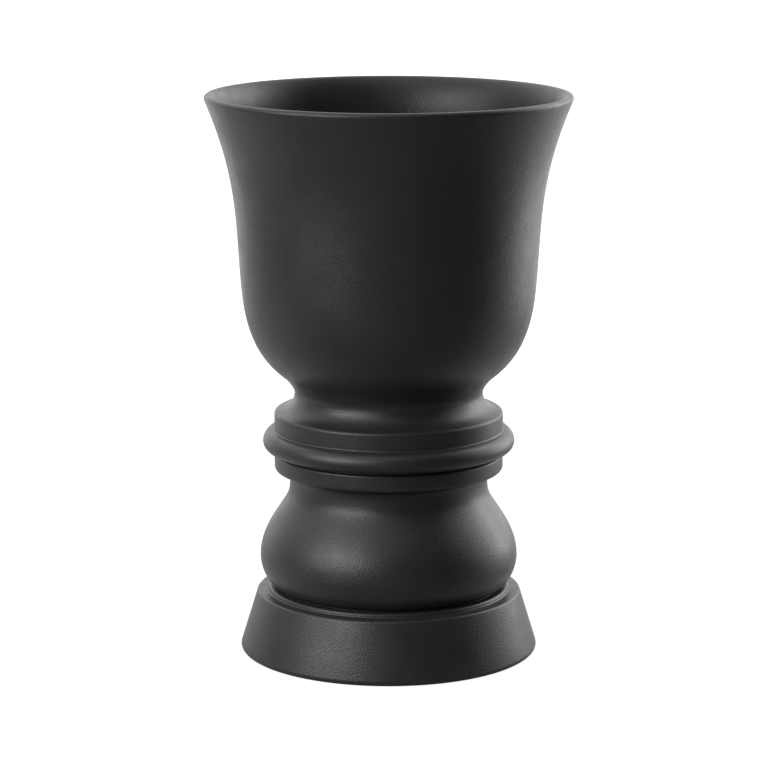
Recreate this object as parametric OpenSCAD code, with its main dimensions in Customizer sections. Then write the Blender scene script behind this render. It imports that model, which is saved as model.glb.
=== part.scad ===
// Goblet floor planter with a lift-out liner that stores its own water.
// The outer shell is one hollow plastic moulding: a flared cup on a stem of turned bands,
// a bulb and a conical base. Its wall is even, and widens only into the lip. Millimetres,
// +Z up, with the origin on the floor at the middle of the base.

/* [Base] */
// Radius of the cone where its side would meet the floor
base_r = 269; // [258:0.5:285]
// Radius of the cone where its side would meet the flat top of the base
base_top_r = 235.5; // [230:0.5:244]
// Height of the conical base
base_h = 109; // [90:1:130]
// Rounding of the edge that stands on the floor
foot_round = 8; // [3:0.5:12]
// Rounding of the base's upper edge
base_edge_round = 5; // [2:0.5:8]
// Radius of the panel that is recessed in the underside
recess_r = 200; // [150:1:215]
// Depth of that recess
recess_d = 14; // [14:0.5:24]
// Slope of the recess wall, measured across
recess_draft = 8; // [4:0.5:12]
// Rounding of the recess's two edges
recess_round = 5; // [2:0.5:6]
// Radius of the low step between the base and the bulb
step_r = 216; // [213:0.5:221]
// Height of that step
step_h = 8; // [8:0.5:14]
// Rounding of the step's upper edge
step_round = 5; // [2:0.5:5.5]
// Hollow rounding at the foot of the step
step_fillet = 2.5; // [0.5:0.25:2.5]

/* [Bulb] */
// Radius of the crease between the step and the bulb
crease_r = 199; // [192:0.5:202]
// Hollow rounding of that crease
crease_round = 0.5; // [0.4:0.1:1]
// Angle above level at which the bulb leaves the crease
bulb_foot_a = 23; // [18:1:32]
// Largest radius of the bulb
bulb_r = 230.5; // [222:0.5:240]
// Height of that widest place above the step
bulb_rise = 55; // [50:1:62]
// Height of the bulb, up to where it runs into the collar
bulb_h = 166; // [155:1:185]
// Radius of the bulb where it runs into the collar
bulb_top_r = 181; // [178:0.5:186]
// Heading of the bulb's side there, counted from level
bulb_top_a = 115; // [110:1:122]

/* [Collar, bands and bead] */
// Smallest radius of the collar between the bulb and the lower band
collar_r = 176.75; // [168:0.25:177]
// Height of the collar, up to the underside of the lower band
collar_h = 45.5; // [38:0.5:56]
// Hollow rounding from the collar to the lower band
collar_round = 16; // [10:0.5:18]
// Radius of the plain bands below and above the bead
band_r = 204; // [202:0.5:208]
// Height of the lower band
low_band_h = 31.5; // [27:0.5:44]
// Rounding of the lower band's bottom edge
low_band_round = 7.5; // [4:0.5:9]
// Rounding of the lower band's top edge
low_band_top_round = 4; // [1:0.5:4]
// Radius at the bottom of the groove between the lower band and the bead
groove_r = 199; // [196:0.5:199.5]
// Height of that groove
groove_h = 4.5; // [4:0.5:10]
// Hollow rounding in the groove
groove_round = 2; // [0.5:0.25:2.25]
// Radius of the bead at its widest
bead_r = 224.5; // [221:0.5:230]
// Height of the bead
bead_h = 37; // [33:0.5:42]
// Height of the bead's widest place above its underside
bead_low_h = 17; // [12:0.5:19]
// Hollow rounding between the bead and the upper band
bead_fillet = 3; // [1:0.5:4]
// Height of the upper band
up_band_h = 34; // [24:0.5:42]
// Rounding of the upper band's top edge
up_band_round = 5.5; // [2:0.5:8]

/* [Neck and cup] */
// Smallest radius of the neck
neck_r = 167.5; // [160:0.5:176]
// Height of the hollow curve from the upper band to the smallest neck
cove_h = 34.5; // [28:0.5:46]
// Radius where the hollow neck turns into the round bowl
bowl_foot_r = 188; // [184:0.5:194]
// Height of that turn above the smallest neck
bowl_foot_h = 30; // [26:1:38]
// Angle above level of the bowl at that turn
bowl_foot_a = 37; // [32:0.5:44]
// Radius of the cup at its waist, where the bowl ends and the flare begins
waist_r = 262.75; // [257:0.25:268]
// Height of the waist above the smallest neck
waist_h = 208; // [195:1:225]
// Angle above level of the wall at the waist
waist_a = 86; // [84:0.5:88]
// Radius at which the flare ends and the lip begins
rim_r = 321.75; // [312:0.25:330]
// Angle above level of the flare where it meets the lip
rim_a = 67.5; // [62:0.5:73]
// Height of the lip above the end of the flare
lip_h = 12.5; // [11:0.5:17]
// Width of the lip at its top, before its edges are rounded
lip_t = 19.5; // [19:0.5:24]
// Rounding of the lip's outer edge
lip_round = 6.5; // [4:0.5:7]
// Rounding of the lip's inner edge
lip_inner_round = 9; // [5:0.5:9.5]
// Angle above level of the lip's inner side
lip_inner_a = 82; // [76:1:88]
// Height of the cup above the smallest neck
cup_h = 530; // [505:1:555]
// Thickness of the moulded wall
wall = 7; // [5:0.5:8]

/* [Drain plugs] */
// Radius of the drain hole in the underside of the shell
shell_drain_r = 16; // [10:0.5:22]
// Radius of the drain hole in the floor of the liner
liner_drain_r = 12; // [8:0.5:18]
// Distance of the liner's drain hole from the middle
liner_drain_off = 60; // [45:1:85]
// How far a plug's head is wider than its hole, all round
plug_lap = 6; // [3:0.5:10]
// Thickness of a plug's head
plug_head_t = 4; // [2:0.5:5]
// Depth of the grip bar under a plug's head
plug_grip_h = 7; // [4:0.5:8]
// Thickness of that grip bar
plug_grip_t = 5; // [3:0.5:8]
// How far a plug's straight part reaches past the floor it closes
plug_reach = 5; // [2:0.5:10]
// Size of the lead-in at a plug's end
plug_lead = 2; // [1:0.5:4]

/* [Liner] */
// Depth of the liner's flange below the rim of the planter
liner_drop = 95; // [88:1:125]
// Height of the liner
liner_h = 345; // [310:1:350]
// Thickness of the liner
liner_wall = 4; // [3:0.5:5]
// Slope of the liner's side, counted from upright
liner_lean = 8; // [6.5:0.5:10]
// Rounding between the liner's side and its floor
liner_foot_round = 16; // [14:1:36]
// Width of the liner's flange outside its wall
flange_w = 24; // [20:0.5:28]
// Thickness of the flange
flange_t = 5; // [3:0.5:8]

/* [Handles] */
// Width of each half-ring handle
handle_w = 13; // [9:0.5:14]
// Thickness of each handle
handle_t = 8; // [7:0.5:10]
// Rounding of a handle's edges
handle_round = 2.5; // [1:0.25:3]
// Distance from the handles to the edge of the flange
handle_margin = 5; // [3:0.5:7]
// Distance of each handle's pivot from the middle of its lug
pivot_x = 13; // [11:0.5:20]
// Radius of the pivot pins
pivot_pin_r = 3; // [2:0.25:3.25]
// Running clearance of a pivot pin in its bore, all round
pivot_play = 0.1; // [0.05:0.01:0.1]
// Length of a lug along its pivot pins
lug_l = 11; // [8:0.5:14]
// Plastic between a pivot bore and the outside of its lug
lug_wall = 4; // [2.5:0.5:6]
// Gap between a lug and the corners of the folded handles
lug_gap = 1; // [0.5:0.1:2]

/* [Water store] */
// Height of the separator's top face over the liner's floor
store_h = 85; // [76:1:105]
// Thickness of the separator plate
plate_t = 4; // [3:0.5:6]
// Gap between the separator and the side of the liner
plate_gap = 2; // [1:0.25:4]
// Depth of the skirt under the edge of the plate
skirt_h = 14; // [8:1:22]
// Thickness of that skirt
skirt_t = 3; // [2:0.5:4]
// Radius of the drain holes in the plate
drain_hole_r = 4; // [2:0.5:6]
// Distance of the outer ring of drain holes from the edge of the plate
hole_margin = 14; // [12:0.5:20]
// Radius of the inner ring of drain holes
inner_ring_r = 45; // [30:1:60]
// Number of drain holes in the outer ring
outer_holes = 36; // [12:1:48]
// Number of drain holes in the inner ring
inner_holes = 9; // [4:1:14]
// Number of wick cups
cup_count = 3; // [1:1:3]
// Distance of the wick cups from the middle
cup_ring_r = 112; // [95:1:125]
// Inner radius of a wick cup at its mouth
cup_mouth_r = 32; // [26:1:38]
// Inner radius of a wick cup at its floor
cup_foot_r = 24; // [16:1:26]
// Wall of a wick cup
cup_wall = 2; // [1.5:0.25:3]
// Width of the collar that hangs a wick cup in the plate
cup_collar_w = 5; // [3:0.5:7]
// Number of wicking slots in a cup
cup_slots = 6; // [4:1:8]
// Width of a wicking slot
cup_slot_w = 4; // [2:0.5:6]
// Height of the slots above a cup's floor
cup_slot_z = 8; // [4:1:16]
// Length of the slots
cup_slot_h = 45; // [20:1:50]

/* [Filling tube] */
// Distance of the filling tube and the level gauge from the middle
tube_ring_r = 160; // [152:1:168]
// Outer radius of the filling tube
tube_r = 25; // [18:0.5:26]
// Wall of the filling tube
tube_wall = 2.5; // [1.5:0.25:4]
// Depth of the tube's top below the liner's flange
tube_drop = 14; // [8:1:40]
// Height of the tube's open foot over the liner's floor
tube_foot = 30; // [10:1:45]
// Width of the collars by which the tubes stand on the plate
tube_collar_w = 6; // [3:0.5:8]
// Thickness of those collars
tube_collar_t = 3; // [2:0.5:5]
// Thickness of the cap on the filling tube
cap_t = 4; // [2.5:0.5:6]
// How far the cap is wider than the tube
cap_lap = 3; // [1:0.5:5]
// Depth of the cap's spigot in the tube
spigot_l = 12; // [7:0.5:20]
// Depth of the hollow in the end of the spigot
spigot_hollow = 3; // [1:0.5:5]
// Height of the grip on the cap
cap_grip_h = 9; // [5:0.5:14]
// Thickness of the grip on the cap
cap_grip_t = 6; // [4:0.5:10]
// Length of the grip on the cap
cap_grip_l = 36; // [24:1:36]

/* [Level gauge] */
// Outer radius of the gauge tube
gauge_r = 15; // [13:0.5:18]
// Wall of the gauge tube
gauge_wall = 2; // [1.5:0.25:2.5]
// Width of the ledge inside the tube's foot that stops the float
float_stop_w = 5; // [3:0.5:7]
// Depth of the gauge tube's top below the liner's flange
gauge_drop = 45; // [42:1:80]
// Number of water slots in the gauge tube
gauge_slots = 4; // [2:1:6]
// Width of a water slot
gauge_slot_w = 3; // [2:0.25:4]
// Length of a water slot
gauge_slot_h = 42; // [20:1:48]
// Travel of the float between an empty and a full store
float_travel = 40; // [20:1:45]
// Height of the float
float_h = 46; // [34:1:60]
// Gap between the float and the inside of its tube
float_gap = 1; // [0.5:0.25:2]
// Radius of the float's stem
stem_r = 2; // [1.5:0.25:2.5]
// Depth of the stem in the float
stem_seat = 20; // [10:1:25]
// Radius of the marker on the stem
marker_r = 6; // [4.5:0.5:7]
// Height of the marker
marker_h = 16; // [12:1:24]
// Gap between the marker and the dome
marker_gap = 3; // [2:0.25:4]
// Wall of the clear dome
dome_wall = 2; // [1:0.25:3]
// Depth of the dome's socket over the gauge tube
dome_lap = 14; // [8:1:20]

/* [Fits] */
// Gap between pieces that rest on each other and come apart
seat_gap = 0.3; // [0.2:0.05:0.5]
// Gap round a plug, spigot, cup or tube in its hole
slip_gap = 0.3; // [0.15:0.05:0.5]
// Clearance of the dome and the stem in their sockets
socket_gap = 0.05; // [0.02:0.01:0.1]
// Height of the gauge tube's foot over the liner's floor
gauge_stand = 2; // [1:0.5:5]

/* [Hidden] */

$fn = 96;
big_fn = 180;
// Straight pieces in one rounded edge, and in one long curve
edge_n = 5;
curve_n = 14;
// Smallest inner rounding of an edge that is rounded less than the wall
tight = 0.5;
// How far a cut runs past the faces that it cuts
past = 1;
// Small chamfer on loose pieces
chamfer = 1;
// Pull of a curve that follows a quarter of an ellipse
quarter = 0.5523;
// Where the wick cups, the filling tube, the gauge and the liner's drain hole lie,
// counted from the right
first_cup_a = 30;
cup_turn = 120;
tube_a = 90;
gauge_a = 330;
drain_a = 210;
// How far each long curve keeps to its headings at its lower and its upper end
bulb_low_pulls = [22, 17];
bulb_top_pulls = [49.5, 28];
collar_pulls = [9, 12];
neck_pulls = [8, 8];
bowl_pulls = [77, 64];
flare_pulls = [111.5, 138.5];
lip_pulls = [15, 15];
// Pieces of the flare's curve over which its inside widens into the lip
lip_pieces = 2;

// Heights of the stack, from the floor up
z_step = base_h + step_h;
z_bulb = z_step + bulb_rise;
z_collar = z_step + bulb_h;
z_band = z_collar + collar_h;
z_groove = z_band + low_band_h;
z_bead = z_groove + groove_h;
z_bead_mid = z_bead + bead_low_h;
z_up_band = z_bead + bead_h;
z_cove = z_up_band + up_band_h;
z_neck = z_cove + cove_h;
z_waist = z_neck + waist_h;
z_rim = z_neck + cup_h;
z_lip = z_rim - lip_h;

// An outline is a list of [radius, height, heading]. It starts on the axis under the
// base, runs outwards and up to the rim, and has the planter's hollow on its left.
function heading(a, b) = atan2(b.y - a.y, b.x - a.x);
function along(p, a, d) = [p.x + d * cos(a), p.y + d * sin(a)];
function left_of(p, a, t) = [p.x - t * sin(a), p.y + t * cos(a)];
function near_turn(a) = a > 180 ? a - 360 : a < -180 ? a + 360 : a;

// A stretch of a circle that leaves point p at heading a and turns by the angle turn
function bend(p, a, turn, r, n = edge_n) =
    let (side = sign(turn), c = left_of(p, a, side * r))
    [for (i = [0:n]) let (h = a + turn * i / n)
        [c.x + side * r * sin(h), c.y - side * r * cos(h), h]];

// The rounded corner b between the points a and c. A corner that turns round the
// hollow gets at least the rounding that a wall t needs on its inside.
function corner(a, b, c, r, t = 0) =
    let (h = heading(a, b),
         turn = near_turn(heading(b, c) - h),
         round = turn > 0 && t > 0 ? max(r, t + tight) : r)
    bend(along(b, h, -round * tan(abs(turn) / 2)), h, turn, round);

// A smooth curve from a at heading ha to b at heading hb
function sweep(a, ha, b, hb, pulls, n = curve_n) =
    let (p = along(a, ha, pulls[0]), q = along(b, hb, -pulls[1]))
    [for (i = [0:n])
        let (u = i / n, v = 1 - u,
             at = v * v * v * a + 3 * v * v * u * p + 3 * v * u * u * q + u * u * u * b,
             go = v * v * (p - a) + 2 * v * u * (q - p) + u * u * (b - q))
        [at.x, at.y, atan2(go.y, go.x)]];

// Moves an outline to its left by t and leaves its headings out
function inset(line, t) = [for (p = line) left_of(p, p.z, t)];

// Drops points that lie on the one before
function distinct(line) =
    [for (i = [0:len(line) - 1]) if (i == 0 || norm(line[i] - line[i - 1]) > 0.02) line[i]];

// The base and the step on it. Inside the wall the step becomes one slope.
function base_line(t) =
    let (a = [0, recess_d],
         b = [recess_r, recess_d],
         c = [recess_r + recess_draft, 0],
         d = [base_r, 0],
         e = [base_top_r, base_h],
         f = [step_r, base_h],
         g = [step_r, z_step],
         h = [crease_r, z_step])
    concat([[0, recess_d, 0]],
        corner(a, b, c, recess_round, t), corner(b, c, d, recess_round, t),
        corner(c, d, e, foot_round, t), corner(d, e, f, base_edge_round, t),
        t > 0 ? [[step_r, base_h, 180]]
              : concat(corner(e, f, g, step_fillet), corner(f, g, h, step_round)));

// The crease, the bulb over it and the start of the collar
function bulb_line() =
    let (step = [step_r, z_step],
         crease = [crease_r, z_step],
         side = along(crease, bulb_foot_a, bulb_foot_a),
         foot = corner(step, crease, side, crease_round),
         start = [foot[edge_n].x, foot[edge_n].y],
         wide = [bulb_r, z_bulb],
         top = [bulb_top_r, z_collar])
    concat(foot,
        sweep(start, bulb_foot_a, wide, 90, bulb_low_pulls),
        sweep(wide, 90, top, bulb_top_a, bulb_top_pulls),
        sweep(top, bulb_top_a, [collar_r, z_band - collar_round], 90, collar_pulls, edge_n));

// The lower band, the groove, the bead and the upper band. Inside the wall the groove
// becomes a low ridge with one slope below it.
function band_line(t) =
    let (a = [collar_r, z_collar],
         b = [collar_r, z_band],
         c = [band_r, z_band],
         d = [band_r, z_groove],
         e = [groove_r, z_groove],
         f = [groove_r, z_bead],
         g = [bead_r, z_bead],
         h = [band_r, z_up_band],
         i = [band_r, z_cove],
         j = [neck_r, z_cove],
         bead_top = [band_r + bead_fillet, z_up_band])
    concat(corner(a, b, c, collar_round), corner(b, c, d, low_band_round, t),
        t > 0 ? [[band_r, z_groove - t, 90], [groove_r, z_groove, 90]]
              : concat(corner(c, d, e, low_band_top_round), corner(d, e, f, groove_round)),
        corner(e, f, g, groove_round),
        bend([bead_r - bead_low_h, z_bead], 0, 90, bead_low_h, 2 * edge_n),
        sweep([bead_r, z_bead_mid], 90, bead_top, 180,
            quarter * [z_up_band - z_bead_mid, bead_r - bead_top.x], 2 * edge_n),
        bend(bead_top, 180, -90, bead_fillet),
        corner(h, i, j, up_band_round, t));

// The hollow neck, the bowl and the flare, up to the lip
function cup_line(t) =
    let (cove = [band_r - max(up_band_round, t + tight), z_cove],
         neck = [neck_r, z_neck],
         foot = [bowl_foot_r, z_neck + bowl_foot_h],
         waist = [waist_r, z_waist],
         lip = [rim_r, z_lip])
    concat(sweep(cove, 180, neck, 90, quarter * [cove.x - neck_r, cove_h], 2 * edge_n),
        sweep(neck, 90, foot, bowl_foot_a, neck_pulls, edge_n),
        sweep(foot, bowl_foot_a, waist, waist_a, bowl_pulls),
        sweep(waist, waist_a, lip, rim_a, flare_pulls));

// The skin at the depth t under the outside, from the axis to the end of the flare
function skin(t) = inset(concat(base_line(t), bulb_line(), band_line(t), cup_line(t)), t);

// The inside, up to where the wall begins to widen into the lip
even_side = let (side = cup_line(wall)) side[len(side) - 1 - lip_pieces];
inside = let (line = skin(wall)) [for (i = [0:len(line) - 1 - lip_pieces]) line[i]];

// The lip, over its outer edge, across its top and down its inner edge to the even wall
lip_line = inset(let (lip = [rim_r, z_lip],
         out = along(lip, rim_a, lip_h / sin(rim_a)),
         in = [out.x - lip_t, z_rim],
         inner = corner(out, in, along(in, lip_inner_a, -lip_h), lip_inner_round),
         end = inner[edge_n])
    concat(corner(lip, out, in, lip_round), inner,
        sweep([end.x, end.y], lip_inner_a + 180, inside[len(inside) - 1],
            even_side.z + 180, lip_pulls, edge_n)), 0);

// Radius of the shell's inside at a height in the flare
flare_inside = [for (p = inset(cup_line(wall), wall)) if (p.y > z_waist) [p.y, p.x]];
function flare_in_r(z) = lookup(z, flare_inside);

// The liner hangs by its flange in the flare of the cup
z_flange = z_rim - liner_drop;
z_flange_low = z_flange - flange_t;
z_liner = z_flange - liner_h;
z_floor = z_liner + liner_wall;
flange_r = flare_in_r(z_flange) - seat_gap;
flange_low_r = flare_in_r(z_flange_low) - seat_gap;
liner_top_r = flange_low_r - flange_w;
liner_foot_r = liner_top_r - (liner_h - flange_t) * tan(liner_lean);
function liner_in_r(z) =
    liner_foot_r + (z - z_liner) * tan(liner_lean) - liner_wall / cos(liner_lean);

// The handles lie on the flange, outside the lugs that hold their pivots
handle_r = flange_low_r - handle_margin;
handle_in_r = handle_r - handle_w;
handle_mid_r = handle_r - handle_w / 2;
z_pivot = z_flange + seat_gap + handle_t / 2;
lug_half = pivot_x + pivot_pin_r + lug_wall;
lug_y = sqrt(handle_in_r * handle_in_r - lug_half * lug_half) - lug_gap;
lug_in_y = lug_y - lug_l;
z_lug = z_pivot + pivot_pin_r + lug_wall;

// The separator stands on its wick cups, on the liner's floor. The drain hole in that
// floor lies between two of them.
z_plate = z_floor + store_h;
z_plate_low = z_plate - plate_t;
plate_r = liner_in_r(z_plate_low - skirt_h) - plate_gap;
outer_ring_r = plate_r - hole_margin;
cup_top_r = cup_mouth_r + cup_wall;
function at_angle(r, a) = [r * cos(a), r * sin(a)];
cup_places = [for (i = [0:cup_count - 1]) at_angle(cup_ring_r, first_cup_a + cup_turn * i)];
tube_at = at_angle(tube_ring_r, tube_a);
gauge_at = at_angle(tube_ring_r, gauge_a);
drain_at = at_angle(liner_drain_off, drain_a);

// The tubes, and the float with its stem and marker
z_tube = z_flange - tube_drop;
z_gauge = z_flange - gauge_drop;
z_gauge_foot = z_floor + gauge_stand;
gauge_in_r = gauge_r - gauge_wall;
float_r = gauge_in_r - float_gap;
z_float = z_gauge_foot + gauge_wall + seat_gap;
z_stem = z_float + float_h - stem_seat;
z_marker = z_gauge - marker_h;
view_r = marker_r + marker_gap;
z_view = z_marker + float_travel + marker_h;

// A push-in plug for a hole in a floor whose underside is at the height z
module plug(hole_r, floor_t, z) {
    head_r = hole_r + plug_lap;
    end_r = hole_r - slip_gap;
    straight = floor_t + plug_reach;
    head_z = -seat_gap - plug_head_t;
    translate([0, 0, z]) {
        rotate_extrude()
            polygon([[0, head_z], [head_r - chamfer, head_z], [head_r, head_z + chamfer],
                [head_r, -seat_gap], [end_r, -seat_gap], [end_r, straight],
                [end_r - plug_lead, straight + plug_lead], [0, straight + plug_lead]]);
        translate([-hole_r, -plug_grip_t / 2, head_z - plug_grip_h])
            cube([2 * hole_r, plug_grip_t, plug_grip_h + past]);
    }
}

module outer_shell() {
    down = [for (i = [len(inside) - 1:-1:0]) inside[i]];
    color("#2b2b2c") difference() {
        rotate_extrude($fn = big_fn) polygon(distinct(concat(skin(0), lip_line, down)));
        translate([0, 0, recess_d - past]) cylinder(r = shell_drain_r, h = wall + 2 * past);
    }
}

module shell_plug() {
    color("#151515") plug(shell_drain_r, wall, recess_d);
}

module liner_pot() {
    foot = corner([0, z_liner], [liner_foot_r, z_liner], [liner_top_r, z_flange_low],
        liner_foot_round, liner_wall);
    outside = inset(foot, 0);
    in_foot = inset(foot, liner_wall);
    in_side = [for (i = [len(in_foot) - 1:-1:0]) in_foot[i]];
    color("#3a3a3a") difference() {
        union() {
            rotate_extrude($fn = big_fn)
                polygon(concat([[0, z_liner]], outside,
                    [[liner_top_r, z_flange_low], [flange_low_r, z_flange_low],
                     [flange_r, z_flange], [liner_in_r(z_flange), z_flange]],
                    in_side, [[0, z_floor]]));
            for (y = [lug_in_y, -lug_y]) translate([-lug_half, y, z_flange_low])
                cube([2 * lug_half, lug_l, z_lug - z_flange_low]);
        }
        for (x = [-pivot_x, pivot_x], y = [lug_in_y, -lug_y])
            translate([x, y - past, z_pivot]) rotate([-90, 0, 0])
                cylinder(r = pivot_pin_r + pivot_play, h = lug_l + 2 * past);
        translate([drain_at.x, drain_at.y, z_liner - past])
            cylinder(r = liner_drain_r, h = liner_wall + 2 * past);
    }
}

module liner_plug() {
    color("#151515") translate([drain_at.x, drain_at.y, 0])
        plug(liner_drain_r, liner_wall, z_liner);
}

// A half ring with rounded edges, and at each end a hub with a pivot pin
module handle() {
    pivot_a = asin(pivot_x / handle_mid_r);
    w = handle_w / 2 - handle_round;
    h = handle_t / 2 - handle_round;
    section = [for (k = [0:3]) each bend(
        [handle_mid_r + (k == 0 || k == 3 ? w : -w) + handle_round * cos(90 * k),
         z_pivot + (k < 2 ? h : -h) + handle_round * sin(90 * k)],
        90 * k + 90, 90, handle_round, 3)];
    color("#4a4a4a") {
        rotate([0, 0, pivot_a - 90]) rotate_extrude(angle = 180 - 2 * pivot_a, $fn = big_fn)
            polygon(inset(section, 0));
        for (end = [0, 1]) mirror([0, end, 0]) translate([pivot_x, 0, z_pivot]) {
            translate([0, handle_in_r, 0]) rotate([-90, 0, 0])
                cylinder(r = handle_t / 2, h = handle_w - chamfer);
            translate([0, lug_in_y, 0]) rotate([-90, 0, 0])
                cylinder(r = pivot_pin_r, h = handle_mid_r - lug_in_y);
        }
    }
}

module handle_left() { rotate([0, 0, 180]) handle(); }
module handle_right() { handle(); }

// One ring of drain holes, leaving out those that a collar would cover
module drain_holes(ring_r, count) {
    taken = concat([for (p = cup_places) [p, cup_top_r + cup_collar_w]],
        [[tube_at, tube_r + tube_collar_w], [gauge_at, gauge_r + tube_collar_w]]);
    for (i = [0:count - 1]) {
        p = at_angle(ring_r, 360 / count * (i + 0.5));
        free = min([for (q = taken) norm(p - q[0]) - q[1]]);
        if (free > drain_hole_r + chamfer) plate_hole(p, drain_hole_r);
    }
}

module plate_hole(p, r) {
    translate([p.x, p.y, z_plate_low - past]) cylinder(r = r, h = plate_t + 2 * past, $fn = 48);
}

module separator_plate() {
    z_skirt = z_plate_low - skirt_h;
    skirt_in_r = plate_r - skirt_t;
    color("#55585a") difference() {
        rotate_extrude($fn = big_fn)
            polygon([[0, z_plate_low], [skirt_in_r, z_plate_low], [skirt_in_r, z_skirt],
                [plate_r, z_skirt], [plate_r, z_plate - chamfer], [plate_r - chamfer, z_plate],
                [0, z_plate]]);
        for (p = cup_places) plate_hole(p, cup_top_r + slip_gap);
        plate_hole(tube_at, tube_r + slip_gap);
        plate_hole(gauge_at, gauge_r + slip_gap);
        drain_holes(outer_ring_r, outer_holes);
        drain_holes(inner_ring_r, inner_holes);
    }
}

module wick_cup() {
    low = z_floor + seat_gap;
    collar_r = cup_top_r + cup_collar_w;
    collar_z = z_plate + cup_wall;
    difference() {
        rotate_extrude()
            polygon([[0, low], [cup_foot_r + cup_wall, low], [cup_top_r, z_plate],
                [collar_r, z_plate], [collar_r, collar_z], [cup_mouth_r, collar_z],
                [cup_foot_r, low + cup_wall], [0, low + cup_wall]]);
        for (i = [0:cup_slots - 1]) rotate([0, 0, 360 / cup_slots * i])
            translate([cup_foot_r / 2, -cup_slot_w / 2, low + cup_wall + cup_slot_z])
                cube([cup_top_r, cup_slot_w, cup_slot_h]);
    }
}

module wick_cups() {
    color("#77797b") for (p = cup_places) translate([p.x, p.y, 0]) wick_cup();
}

// A tube with a collar by which it stands on the plate, and a ledge of the width
// ledge inside its foot
module standing_tube(p, r, w, foot, top, ledge) {
    in_r = r - w;
    translate([p.x, p.y, 0]) rotate_extrude()
        polygon(distinct([[in_r - ledge, foot], [r, foot], [r, z_plate],
            [r + tube_collar_w, z_plate], [r + tube_collar_w, z_plate + tube_collar_t],
            [r, z_plate + tube_collar_t], [r, top], [in_r, top], [in_r, foot + w],
            [in_r - ledge, foot + w]]));
}

module fill_tube() {
    color("#55585a")
        standing_tube(tube_at, tube_r, tube_wall, z_floor + tube_foot, z_tube, 0);
}

module fill_cap() {
    out_r = tube_r + cap_lap;
    in_r = tube_r - tube_wall - slip_gap;
    under = z_tube + seat_gap;
    top = under + cap_t;
    end = under - spigot_l;
    hollow_r = in_r - 2 * chamfer;
    grip_l = min(cap_grip_l, 2 * tube_r);
    color("#2f5f8a") translate([tube_at.x, tube_at.y, 0]) {
        rotate_extrude()
            polygon([[0, end + spigot_hollow], [hollow_r, end + spigot_hollow], [hollow_r, end],
                [in_r - chamfer, end], [in_r, end + chamfer], [in_r, under], [out_r, under],
                [out_r, top - chamfer], [out_r - chamfer, top], [0, top]]);
        translate([-grip_l / 2, -cap_grip_t / 2, top - past])
            cube([grip_l, cap_grip_t, cap_grip_h + past]);
    }
}

module gauge_tube() {
    color("#55585a") difference() {
        standing_tube(gauge_at, gauge_r, gauge_wall, z_gauge_foot, z_gauge, float_stop_w);
        translate([gauge_at.x, gauge_at.y, z_float]) for (i = [0:gauge_slots - 1])
            rotate([0, 0, 360 / gauge_slots * i]) translate([float_r, -gauge_slot_w / 2, 0])
                cube([gauge_r, gauge_slot_w, gauge_slot_h]);
    }
}

// A clear bell: a socket over the gauge tube, and a narrower window with a round top
module gauge_dome() {
    in_r = gauge_r + socket_gap;
    out_r = in_r + dome_wall;
    view_out_r = view_r + dome_wall;
    shoulder = z_gauge + socket_gap;
    color("#dfe8ee", 0.5) translate([gauge_at.x, gauge_at.y, 0]) rotate_extrude()
        polygon(concat(
            [[in_r, z_gauge - dome_lap], [out_r, z_gauge - dome_lap],
             [out_r, shoulder], [out_r - dome_wall, shoulder + dome_wall],
             [view_out_r, shoulder + dome_wall]],
            inset(bend([view_out_r, z_view], 90, 90, view_out_r, 2 * edge_n), 0),
            [for (i = [2 * edge_n:-1:0]) at_dome(i)],
            [[view_r, shoulder], [in_r, shoulder]]));
}

function at_dome(i) =
    let (a = 90 * i / (2 * edge_n)) [view_r * cos(a), z_view + view_r * sin(a)];

module gauge_float() {
    color("#e8e4da") translate([gauge_at.x, gauge_at.y, z_float]) difference() {
        rotate_extrude()
            polygon([[0, 0], [float_r - chamfer, 0], [float_r, chamfer],
                [float_r, float_h - chamfer], [float_r - chamfer, float_h], [0, float_h]]);
        translate([0, 0, float_h - stem_seat])
            cylinder(r = stem_r + socket_gap, h = stem_seat + past);
    }
}

module gauge_stem() {
    color("#f2f2f2") translate([gauge_at.x, gauge_at.y, z_stem])
        cylinder(r = stem_r, h = z_marker - z_stem + marker_h / 2);
}

module gauge_marker() {
    tip_r = marker_r - 2 * chamfer;
    color("#c22f25") translate([gauge_at.x, gauge_at.y, z_marker]) difference() {
        rotate_extrude()
            polygon([[0, 0], [marker_r - chamfer, 0], [marker_r, chamfer],
                [marker_r, marker_h - 2 * chamfer], [tip_r, marker_h], [0, marker_h]]);
        translate([0, 0, -past]) cylinder(r = stem_r + socket_gap, h = marker_h / 2 + past);
    }
}

outer_shell();
shell_plug();
liner_pot();
handle_left();
handle_right();
liner_plug();
separator_plate();
wick_cups();
fill_tube();
fill_cap();
gauge_tube();
gauge_dome();
gauge_float();
gauge_stem();
gauge_marker();
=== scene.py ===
# %% [markdown]
# A tall goblet planter, moulded in one piece of black plastic, with a liner inside it.
# The imported model comes first, because every piece that is made here has to lie exactly
# where the model says. It is loaded once.

import math

import bmesh
import bpy
from mathutils import Matrix, Vector


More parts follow.
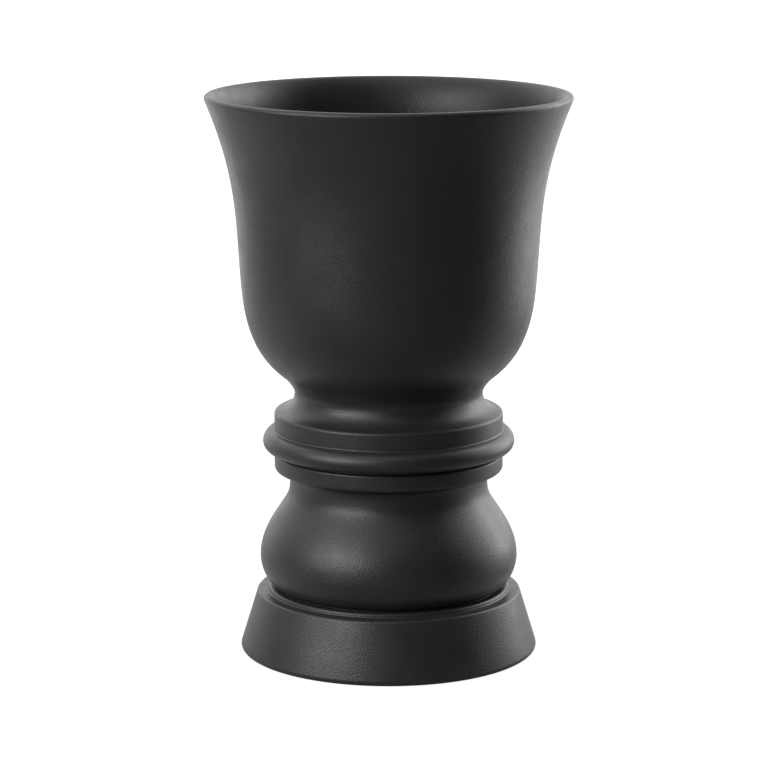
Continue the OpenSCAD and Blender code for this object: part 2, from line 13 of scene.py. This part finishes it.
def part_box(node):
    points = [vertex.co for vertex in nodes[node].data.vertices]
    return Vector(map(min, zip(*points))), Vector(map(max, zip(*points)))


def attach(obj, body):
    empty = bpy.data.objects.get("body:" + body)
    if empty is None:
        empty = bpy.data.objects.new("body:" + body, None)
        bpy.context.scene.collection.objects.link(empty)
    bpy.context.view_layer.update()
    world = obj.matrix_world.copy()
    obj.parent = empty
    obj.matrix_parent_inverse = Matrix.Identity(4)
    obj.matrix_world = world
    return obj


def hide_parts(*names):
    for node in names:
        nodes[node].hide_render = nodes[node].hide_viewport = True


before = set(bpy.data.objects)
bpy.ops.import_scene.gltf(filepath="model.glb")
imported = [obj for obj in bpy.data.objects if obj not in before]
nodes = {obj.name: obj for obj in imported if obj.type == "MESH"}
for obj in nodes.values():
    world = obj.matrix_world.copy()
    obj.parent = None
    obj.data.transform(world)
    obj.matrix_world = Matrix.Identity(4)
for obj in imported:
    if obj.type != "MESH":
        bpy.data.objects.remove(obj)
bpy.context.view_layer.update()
print("pieces in the frame:", sorted(nodes))

# %% [markdown]
# The photograph was taken from a little above, with a long lens. A nearer camera with a
# shorter lens would bend the rim's ellipse differently, so the distance and the lens
# were both worked out from the ellipses of the rim, the bands and the base.

# %% Set the camera
CAMERA_DISTANCE = 5.405
CAMERA_HEIGHT = 1.564
CAMERA_SIDE = -0.0048
CAMERA_PITCH = 11.3605
LENS_MM = 144.25
SENSOR_MM = 36


def set_camera():
    camera_data = bpy.data.cameras.new("camera")
    camera_data.lens = LENS_MM
    camera_data.sensor_width = SENSOR_MM
    camera = bpy.data.objects.new("camera", camera_data)
    camera.location = (CAMERA_SIDE, -CAMERA_DISTANCE, CAMERA_HEIGHT)
    camera.rotation_euler = (math.radians(90 - CAMERA_PITCH), 0, 0)
    bpy.context.scene.collection.objects.link(camera)
    bpy.context.scene.camera = camera
    return camera


camera = set_camera()
print("camera at", tuple(camera.location))

# %% [markdown]
# The outer shell is a turned form, so one section says all about it. It could be drawn
# again point by point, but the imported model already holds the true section. A copy of
# its mesh is merged and cut by a plane through the axis, which leaves only the outline
# of the cut, and one side of it is kept.

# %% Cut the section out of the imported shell
MERGE_DISTANCE = 1e-5


def section_of(node):
    """The outline of a turned node, cut by the XZ plane, on the side where x is positive."""
    outline = bmesh.new()
    outline.from_mesh(node.data)
    bmesh.ops.remove_doubles(outline, verts=outline.verts, dist=MERGE_DISTANCE)
    everything = outline.verts[:] + outline.edges[:] + outline.faces[:]
    bmesh.ops.bisect_plane(outline, geom=everything, dist=MERGE_DISTANCE,
                           plane_co=(0, 0, 0), plane_no=(0, 1, 0),
                           clear_inner=True, clear_outer=True)
    other_side = [v for v in outline.verts if v.co.x < 0]
    bmesh.ops.delete(outline, geom=other_side, context="VERTS")
    bmesh.ops.delete(outline, geom=outline.faces[:], context="FACES_ONLY")
    bmesh.ops.remove_doubles(outline, verts=outline.verts, dist=MERGE_DISTANCE)
    return outline


shell_section = section_of(nodes["outer_shell"])
widest = max(v.co.x for v in shell_section.verts)
print("section points:", len(shell_section.verts), "largest radius:", round(widest, 5))

# %% [markdown]
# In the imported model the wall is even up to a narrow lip. The photograph shows no inner
# edge on that lip. The rim rolls over in one wide curve, which makes the long fade of
# light inside it. The old inner edge could be bevelled, but it is too short for such a
# curve. So the inner line is taken off down to the liner, and the last point that is
# left of the lip is spun into a quarter of a circle, which is stretched down to the
# liner. It ends where the old wall was, so the liner still lifts past it.

# %% Roll the rim inwards
ROLL_STEPS = 40


def take_off_inner_lip(outline, down_to):
    """Deletes the inner line of the lip, and returns the points at its two ends."""
    top = max(v.co.z for v in outline.verts)
    flat_top = [v for v in outline.verts if v.co.z > top - MERGE_DISTANCE]
    lip_end = max(flat_top, key=lambda v: v.co.x)
    before = lip_end
    here = min((e.other_vert(lip_end) for e in lip_end.link_edges), key=lambda v: v.co.x)
    inner_line = []
    while here.co.z > down_to:
        inner_line.append(here)
        neighbours = [e.other_vert(here) for e in here.link_edges]
        onward = [v for v in neighbours if v != before]
        before, here = here, onward[0]
    bmesh.ops.delete(outline, geom=inner_line, context="VERTS")
    return lip_end, here


def roll_rim(outline, down_to):
    lip_end, foot = take_off_inner_lip(outline, down_to)
    already_there = set(outline.verts)
    width, depth = lip_end.co.x - foot.co.x, lip_end.co.z - foot.co.z
    bmesh.ops.spin(outline, geom=[lip_end], cent=lip_end.co - Vector((0, 0, width)),
                   axis=(0, -1, 0), angle=math.pi / 2, steps=ROLL_STEPS)
    arc = [v for v in outline.verts if v not in already_there]
    bmesh.ops.scale(outline, verts=arc, vec=(1, 1, depth / width),
                    space=Matrix.Translation(-lip_end.co))
    bmesh.ops.remove_doubles(outline, verts=outline.verts, dist=MERGE_DISTANCE)
    return width, depth


liner_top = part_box("liner_pot")[1][2]
roll_width, roll_depth = roll_rim(shell_section, down_to=liner_top)
loose_ends = [v for v in shell_section.verts if len(v.link_edges) != 2]
print("roll:", round(roll_width, 4), "wide,", round(roll_depth, 4), "deep")
print("loose ends of the section:", len(loose_ends))

# %% [markdown]
# Spinning the section makes the wall's outside and inside at once, because the section
# is a closed loop. The steps are fine, so the rim and the bands look round from near by
# too. The first and last step are merged, and then the normals are turned outwards.
# Edges that are sharp on the real moulding, such as those of the drain hole, are marked
# sharp, and the rest shades smoothly. Large flat faces would shade unevenly beside small
# rounded ones, so weighted normals let the large faces lead.

# %% Spin the shell
SPIN_STEPS = 256
SHARP_ANGLE = math.radians(32)


def spin_round(outline):
    bmesh.ops.spin(outline, geom=outline.verts[:] + outline.edges[:], cent=(0, 0, 0),
                   axis=(0, 0, 1), angle=math.tau, steps=SPIN_STEPS, use_merge=True)
    bmesh.ops.remove_doubles(outline, verts=outline.verts, dist=MERGE_DISTANCE)
    bmesh.ops.recalc_face_normals(outline, faces=outline.faces)


def shade_smooth(made):
    for face in made.faces:
        face.smooth = True
    for edge in made.edges:
        edge.smooth = edge.calc_face_angle(0) < SHARP_ANGLE


def object_from(made, name):
    mesh = bpy.data.meshes.new(name)
    made.to_mesh(mesh)
    made.free()
    piece = bpy.data.objects.new(name, mesh)
    bpy.context.scene.collection.objects.link(piece)
    return piece


def lead_by_large_faces(piece):
    weighted = piece.modifiers.new("lead by large faces", "WEIGHTED_NORMAL")
    weighted.keep_sharp = True


spin_round(shell_section)
shade_smooth(shell_section)
shell = object_from(shell_section, "planter_shell")
lead_by_large_faces(shell)
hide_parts("outer_shell")
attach(shell, "shell")
print("shell faces:", len(shell.data.polygons))

# %% [markdown]
# Moulded plastic is never one flat colour. Its skin has a fine grain from the mould,
# the colour drifts a little over a hand's width, and rubbed places shine more. One
# function makes all these plastics. It reads Object coordinates, so the pattern stays
# where it is when the piece moves.

# %% Helpers for materials
NOISE_LOW, NOISE_HIGH = 0.3, 0.7


def add_node(tree, kind, **settings):
    node = tree.nodes.new(kind)
    for key, value in settings.items():
        if key in node.inputs:
            node.inputs[key].default_value = value
        else:
            setattr(node, key, value)
    return node


def noise(tree, scale, detail):
    place = tree.nodes["place"]
    pattern = add_node(tree, "ShaderNodeTexNoise", Scale=scale, Detail=detail)
    tree.links.new(place.outputs["Object"], pattern.inputs["Vector"])
    return pattern.outputs["Fac"]


def spread(tree, factor, low, high):
    """Turns a noise, which stays near the middle, into values from low to high."""
    mapped = add_node(tree, "ShaderNodeMapRange")
    for key, setting in (("From Min", NOISE_LOW), ("From Max", NOISE_HIGH),
                         ("To Min", low), ("To Max", high)):
        mapped.inputs[key].default_value = setting
    tree.links.new(factor, mapped.inputs["Value"])
    return mapped.outputs["Result"]


# %% A function for moulded plastic
DRIFT_SCALE, DRIFT_DETAIL = 9, 3
RUBBED_SCALE, RUBBED_DETAIL = 26, 4
GRAIN_DETAIL = 2
COLOUR_DRIFT = 0.1
ROUGHNESS_DRIFT = 0.04
MIX_FACTOR, MIX_DARK, MIX_LIGHT, MIX_RESULT = 0, 6, 7, 2


def drifting_colour(tree, colour):
    mix = add_node(tree, "ShaderNodeMix", data_type="RGBA")
    mix.inputs[MIX_DARK].default_value = [c * (1 - COLOUR_DRIFT) for c in colour] + [1]
    mix.inputs[MIX_LIGHT].default_value = [c * (1 + COLOUR_DRIFT) for c in colour] + [1]
    drift = spread(tree, noise(tree, DRIFT_SCALE, DRIFT_DETAIL), 0, 1)
    tree.links.new(drift, mix.inputs[MIX_FACTOR])
    return mix.outputs[MIX_RESULT]


def rubbed_roughness(tree, roughness):
    return spread(tree, noise(tree, RUBBED_SCALE, RUBBED_DETAIL),
                  roughness - ROUGHNESS_DRIFT, roughness + ROUGHNESS_DRIFT)


def grain(tree, size_mm, depth_mm):
    bump = add_node(tree, "ShaderNodeBump", Strength=1.0, Distance=depth_mm / 1000)
    tree.links.new(noise(tree, 1000 / size_mm, GRAIN_DETAIL), bump.inputs["Height"])
    return bump.outputs["Normal"]


def moulded_plastic(name, colour, roughness, grain_mm=1.2, grain_depth_mm=0.02,
                    specular=0.5):
    material = bpy.data.materials.new(name)
    material.use_nodes = True
    tree = material.node_tree
    add_node(tree, "ShaderNodeTexCoord", name="place")
    shader = tree.nodes["Principled BSDF"]
    shader.inputs["Specular IOR Level"].default_value = specular
    tree.links.new(drifting_colour(tree, colour), shader.inputs["Base Color"])
    tree.links.new(rubbed_roughness(tree, roughness), shader.inputs["Roughness"])
    tree.links.new(grain(tree, grain_mm, grain_depth_mm), shader.inputs["Normal"])
    return material


def dress(piece, material):
    piece.data.materials.clear()
    piece.data.materials.append(material)


# %% [markdown]
# The shell is coloured right through, a neutral black with a satin skin. Its grain is
# coarser and deeper than that of the working parts, and it shows where a highlight lies
# on it.

# %% Dress the shell
black_satin = moulded_plastic("black satin plastic", (0.025, 0.025, 0.0254), 0.375,
                              grain_mm=2.4, grain_depth_mm=0.5, specular=0.47)
dress(shell, black_satin)
print("shell is", shell.data.materials[0].name)

# %% [markdown]
# Inside the cup hangs a plain dark liner. These pieces are working parts, so they get
# duller and rougher plastics than the shell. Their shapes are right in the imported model,
# and only their materials change.

# %% Dress the liner and its handles
liner_grey = moulded_plastic("charcoal liner plastic", (0.045, 0.045, 0.046), 0.55)
handle_grey = moulded_plastic("handle plastic", (0.07, 0.07, 0.072), 0.42)
dress(nodes["liner_pot"], liner_grey)
for side in ("handle_left", "handle_right"):
    dress(nodes[side], handle_grey)
print("liner and handles dressed")

# %% [markdown]
# The insert is in two greys, so that the wick cups stand out from the plate that they
# hang in. The cap of the filling tube is blue, as the place to pour water in.

# %% Dress the insert
insert_grey = moulded_plastic("grey insert plastic", (0.1, 0.1, 0.11), 0.5)
cup_grey = moulded_plastic("light grey cup plastic", (0.18, 0.19, 0.2), 0.5)
cap_blue = moulded_plastic("blue cap plastic", (0.03, 0.12, 0.26), 0.3)
for part in ("separator_plate", "fill_tube", "gauge_tube"):
    dress(nodes[part], insert_grey)
dress(nodes["wick_cups"], cup_grey)
dress(nodes["fill_cap"], cap_blue)
print("insert dressed")

# %% [markdown]
# The gauge is read from above, so its float and stem are white, its marker is red, and
# the dome over them is clear. The plugs are dull black rubber.

# %% Dress the gauge and the plugs
DOME_TRANSMISSION = 0.9

foam = moulded_plastic("white float foam", (0.75, 0.73, 0.68), 0.6)
signal_red = moulded_plastic("red marker plastic", (0.5, 0.03, 0.02), 0.25)
rubber = moulded_plastic("black rubber", (0.014, 0.014, 0.014), 0.75, grain_mm=0.8)
clear = moulded_plastic("clear dome plastic", (0.9, 0.93, 0.95), 0.08,
                        grain_depth_mm=0.003)
clear_shader = clear.node_tree.nodes["Principled BSDF"]
clear_shader.inputs["Transmission Weight"].default_value = DOME_TRANSMISSION
dress(nodes["gauge_float"], foam)
dress(nodes["gauge_stem"], foam)
dress(nodes["gauge_marker"], signal_red)
dress(nodes["gauge_dome"], clear)
dress(nodes["shell_plug"], rubber)
dress(nodes["liner_plug"], rubber)
print("gauge and plugs dressed")

# %% [markdown]
# The planter stands on a studio floor. The camera sees the floor and everything behind
# it as plain white, because the floor glows, and only a faint shadow under the foot is
# left of it. In reflections it glows only behind the planter, where the studio's sweep
# begins. The floor's own colour is a dark grey, because a white floor would throw too
# much light up at the base.

# %% Helpers for the studio


def ramp(tree, value, low, high, at_low, at_high):
    """Goes smoothly from at_low to at_high while the value goes from low to high."""
    slope = add_node(tree, "ShaderNodeMapRange", interpolation_type="SMOOTHSTEP")
    for key, setting in (("From Min", low), ("From Max", high), ("To Min", at_low),
                         ("To Max", at_high)):
        slope.inputs[key].default_value = setting
    tree.links.new(value, slope.inputs["Value"])
    return slope.outputs["Result"]


def combine(tree, operation, first, second):
    """Joins two values, each a socket or a plain number."""
    joined = add_node(tree, "ShaderNodeMath", operation=operation)
    for socket, value in zip(joined.inputs, (first, second)):
        if isinstance(value, (int, float)):
            socket.default_value = value
        else:
            tree.links.new(value, socket)
    return joined.outputs[0]


def split_axes(tree, place_output):
    parts = tree.nodes.new("ShaderNodeSeparateXYZ")
    tree.links.new(tree.nodes["place"].outputs[place_output], parts.inputs[0])
    return parts.outputs


# %% Lay the floor
FLOOR_RADIUS = 3.0
FLOOR_SIDES = 96
FLOOR_COLOUR = 0.125
FLOOR_ROUGHNESS = 0.9
FLOOR_GLOW = 0.93
SWEEP_GLOW = 0.51
SWEEP_BEGINS = -0.55
SWEEP_FULL = 0.25


def floor_glow(tree):
    """White to the camera, and in reflections only the sweep behind the planter."""
    behind = ramp(tree, split_axes(tree, "Object")["Y"], SWEEP_BEGINS, SWEEP_FULL,
                  0, SWEEP_GLOW)
    seen = tree.nodes.new("ShaderNodeLightPath").outputs
    straight = combine(tree, "MULTIPLY", seen["Is Camera Ray"], FLOOR_GLOW)
    mirrored = combine(tree, "MULTIPLY", seen["Is Glossy Ray"], behind)
    through = combine(tree, "MULTIPLY", seen["Is Transmission Ray"], FLOOR_GLOW)
    return combine(tree, "ADD", straight, combine(tree, "MAXIMUM", mirrored, through))


def floor_material():
    material = bpy.data.materials.new("studio floor")
    material.use_nodes = True
    tree = material.node_tree
    add_node(tree, "ShaderNodeTexCoord", name="place")
    shader = tree.nodes["Principled BSDF"]
    shader.inputs["Base Color"].default_value = [FLOOR_COLOUR] * 3 + [1]
    shader.inputs["Roughness"].default_value = FLOOR_ROUGHNESS
    shader.inputs["Emission Color"].default_value = (1, 1, 1, 1)
    tree.links.new(floor_glow(tree), shader.inputs["Emission Strength"])
    return material


def lay_floor():
    made = bmesh.new()
    bmesh.ops.create_circle(made, cap_ends=True, segments=FLOOR_SIDES,
                            radius=FLOOR_RADIUS)
    floor = object_from(made, "floor")
    dress(floor, floor_material())


lay_floor()
print("floor laid, radius", FLOOR_RADIUS)

# %% [markdown]
# Black plastic shows the room more than its own colour, so the room is made with care.
# The camera sees white all round. In reflections a white sweep stands behind the planter
# and fades towards its sides, and the front of the room is dark. Two soft glows stand
# for light on the walls, one round the narrow soft box and a broad one high on the left.
# They could be walls of real geometry, but patches on the world have no edges to show in
# the skin.

# %% Light the room
SWEEP_STRENGTH = 1.46
SWEEP_SIDES = (0.114, 0.948)


def direction(azimuth, elevation):
    """Azimuth 0 is the camera's side, and counts to the right round the planter."""
    turn, rise = math.radians(azimuth), math.radians(elevation)
    return Vector((math.sin(turn) * math.cos(rise), -math.cos(turn) * math.cos(rise),
                   math.sin(rise)))


def wall_glow(tree, azimuth, elevation, reach, strength):
    """A round patch of light that fades to nothing at the angle reach from its middle."""
    nearness = add_node(tree, "ShaderNodeVectorMath", operation="DOT_PRODUCT")
    nearness.inputs[1].default_value = direction(azimuth, elevation)
    tree.links.new(tree.nodes["place"].outputs["Generated"], nearness.inputs[0])
    edge = math.cos(math.radians(reach))
    return ramp(tree, nearness.outputs["Value"], edge, 1, 0, strength)


def room_glow(tree):
    """The sweep behind the planter and the two glows on the walls."""
    backwards = split_axes(tree, "Generated")["Y"]
    sweep = ramp(tree, backwards, *SWEEP_SIDES, 0, SWEEP_STRENGTH)
    right = wall_glow(tree, azimuth=120, elevation=20.5, reach=41.9, strength=1.98)
    left = wall_glow(tree, azimuth=-75, elevation=57.8, reach=63.4, strength=1.11)
    return combine(tree, "ADD", sweep, combine(tree, "ADD", right, left))


def light_room():
    world = bpy.data.worlds.new("studio")
    bpy.context.scene.world = world
    world.use_nodes = True
    tree = world.node_tree
    add_node(tree, "ShaderNodeTexCoord", name="place")
    seen = tree.nodes.new("ShaderNodeLightPath").outputs
    white = combine(tree, "MAXIMUM", seen["Is Camera Ray"], seen["Is Transmission Ray"])
    background = tree.nodes["Background"]
    background.inputs["Color"].default_value = (1, 1, 1, 1)
    tree.links.new(combine(tree, "MAXIMUM", white, room_glow(tree)),
                   background.inputs["Strength"])


light_room()
print("sweep strength in reflections:", SWEEP_STRENGTH)

# %% [markdown]
# Two soft boxes do the rest. A large one stands on the left in front of the planter and
# makes the broad highlights there. A narrow one stands behind on the right and draws the
# bright line down that side.

# %% Set the lamps
AIM = Vector((0, 0, 0.5))


def set_lamp(name, azimuth, elevation, distance, width, height, watts):
    lamp_data = bpy.data.lights.new(name, "AREA")
    lamp_data.shape = "RECTANGLE"
    lamp_data.size = width
    lamp_data.size_y = height
    lamp_data.energy = watts
    lamp = bpy.data.objects.new(name, lamp_data)
    towards = direction(azimuth, elevation)
    lamp.location = AIM + towards * distance
    lamp.rotation_euler = towards.to_track_quat("Z", "Y").to_euler()
    bpy.context.scene.collection.objects.link(lamp)


set_lamp("key_box", azimuth=-47.4, elevation=18, distance=3.2,
         width=2.38, height=1.48, watts=63)
set_lamp("side_box", azimuth=120.5, elevation=13.3, distance=2.6,
         width=0.62, height=2.7, watts=15)

# %% [markdown]
# The colours should come out about as they are written, so the view keeps its plain
# settings.

# %% Finish
bpy.context.scene.view_settings.view_transform = "Standard"
